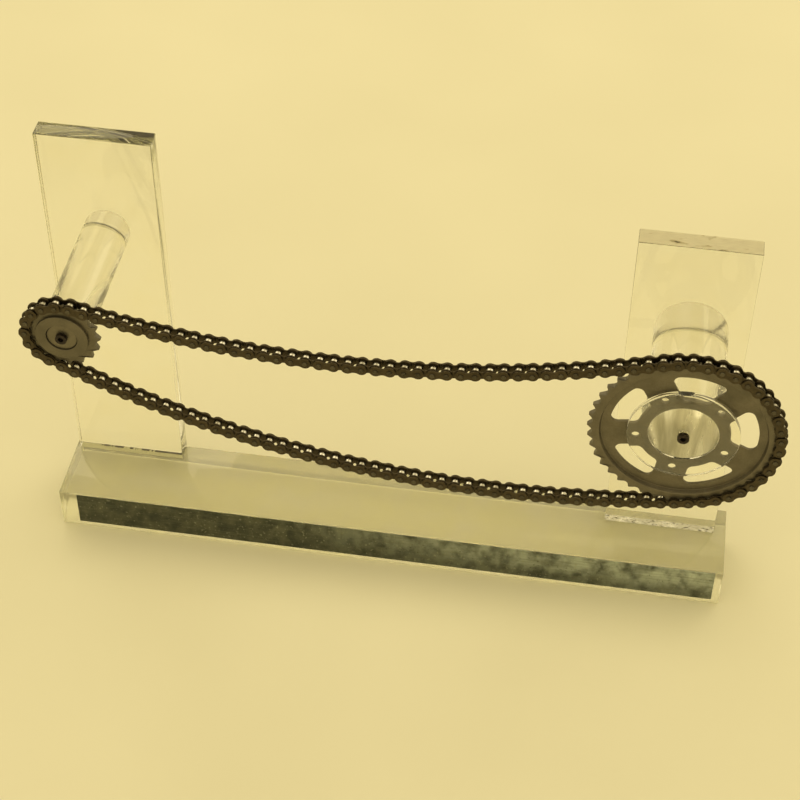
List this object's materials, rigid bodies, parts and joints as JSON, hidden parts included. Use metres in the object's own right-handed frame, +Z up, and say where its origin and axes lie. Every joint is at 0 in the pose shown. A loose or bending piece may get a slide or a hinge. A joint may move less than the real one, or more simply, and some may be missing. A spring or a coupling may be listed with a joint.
{
  "type": "roller chain drive",
  "caption": "Endless roller chain hanging between a large and a small sprocket on a clear display stand with block-shaped base, uprights and round stand-offs.",
  "frame": {"origin": "middle of the clear base block's underside, on the table", "axes": "+X along the base from the small sprocket's end to the large sprocket's end, +Y from the chain back to the stand, +Z up"},
  "size_m": [0.7197, 0.1831, 0.462],
  "materials": {
    "clear_acrylic": "clear, polished",
    "strip_metal": "dull, mottled",
    "black_screw": "black oxide, satin",
    "ground_steel": "ground, slightly tarnished",
    "sprocket_steel": "dark olive-brown, satin",
    "chain_plate": "dark oiled steel",
    "pin_steel": "dark steel, riveted heads",
    "roller_steel": "bright worn steel"
  },
  "bodies": {
    "stand": {"base_block": "clear_acrylic", "front_strip": "strip_metal", "right_upright": "clear_acrylic", "left_upright": "clear_acrylic", "right_boss": "clear_acrylic", "left_boss": "clear_acrylic", "wheel_keeper": "clear_acrylic", "wheel_screw": "black_screw", "pinion_bush": "ground_steel", "pinion_washer": "ground_steel", "pinion_screw": "black_screw"},
    "big_sprocket_and_wrap": {"big_sprocket": "sprocket_steel", "wheel_wrap_outer_plates": "chain_plate", "wheel_wrap_inner_plates": "chain_plate", "wheel_wrap_pins": "pin_steel", "wheel_wrap_bushes": "roller_steel", "wheel_wrap_rollers": "roller_steel"},
    "small_sprocket_and_wrap": {"small_sprocket": "sprocket_steel", "pinion_wrap_outer_plates": "chain_plate", "pinion_wrap_inner_plates": "chain_plate", "pinion_wrap_pins": "pin_steel", "pinion_wrap_bushes": "roller_steel", "pinion_wrap_rollers": "roller_steel"},
    "lower_strand": {"lower_strand_outer_plates": "chain_plate", "lower_strand_inner_plates": "chain_plate", "lower_strand_pins": "pin_steel", "lower_strand_bushes": "roller_steel", "lower_strand_rollers": "roller_steel"},
    "upper_strand": {"upper_strand_outer_plates": "chain_plate", "upper_strand_inner_plates": "chain_plate", "upper_strand_pins": "pin_steel", "upper_strand_bushes": "roller_steel", "upper_strand_rollers": "roller_steel"}
  },
  "joints": [
    {"name": "wheel_spin", "type": "hinge", "parent": "stand", "child": "big_sprocket_and_wrap", "pos_m": [0.281, -0.1306, 0.325], "axis": [0, 1, 0], "range_deg": [-4.29, 4.29]},
    {"name": "pinion_spin", "type": "hinge", "parent": "stand", "child": "small_sprocket_and_wrap", "pos_m": [-0.28094, -0.1306, 0.3595], "axis": [0, 1, 0], "range_deg": [-10.91, 10.91]},
    {"name": "upper_strand_pin", "type": "hinge", "parent": "big_sprocket_and_wrap", "child": "upper_strand", "pos_m": [0.25502, -0.1306, 0.4059], "axis": [0, 1, 0], "range_deg": [-4.81, 4.81]},
    {"name": "lower_strand_pin", "type": "hinge", "parent": "big_sprocket_and_wrap", "child": "lower_strand", "pos_m": [0.29463, -0.1306, 0.24113], "axis": [0, 1, 0], "range_deg": [-3.99, 3.99]}
  ],
  "couplings": [
    {"joint": "pinion_spin", "follows": "wheel_spin", "ratio": 2.4706},
    {"joint": "upper_strand_pin", "follows": "wheel_spin", "ratio": -1.0895},
    {"joint": "lower_strand_pin", "follows": "wheel_spin", "ratio": -0.90415}
  ]
}
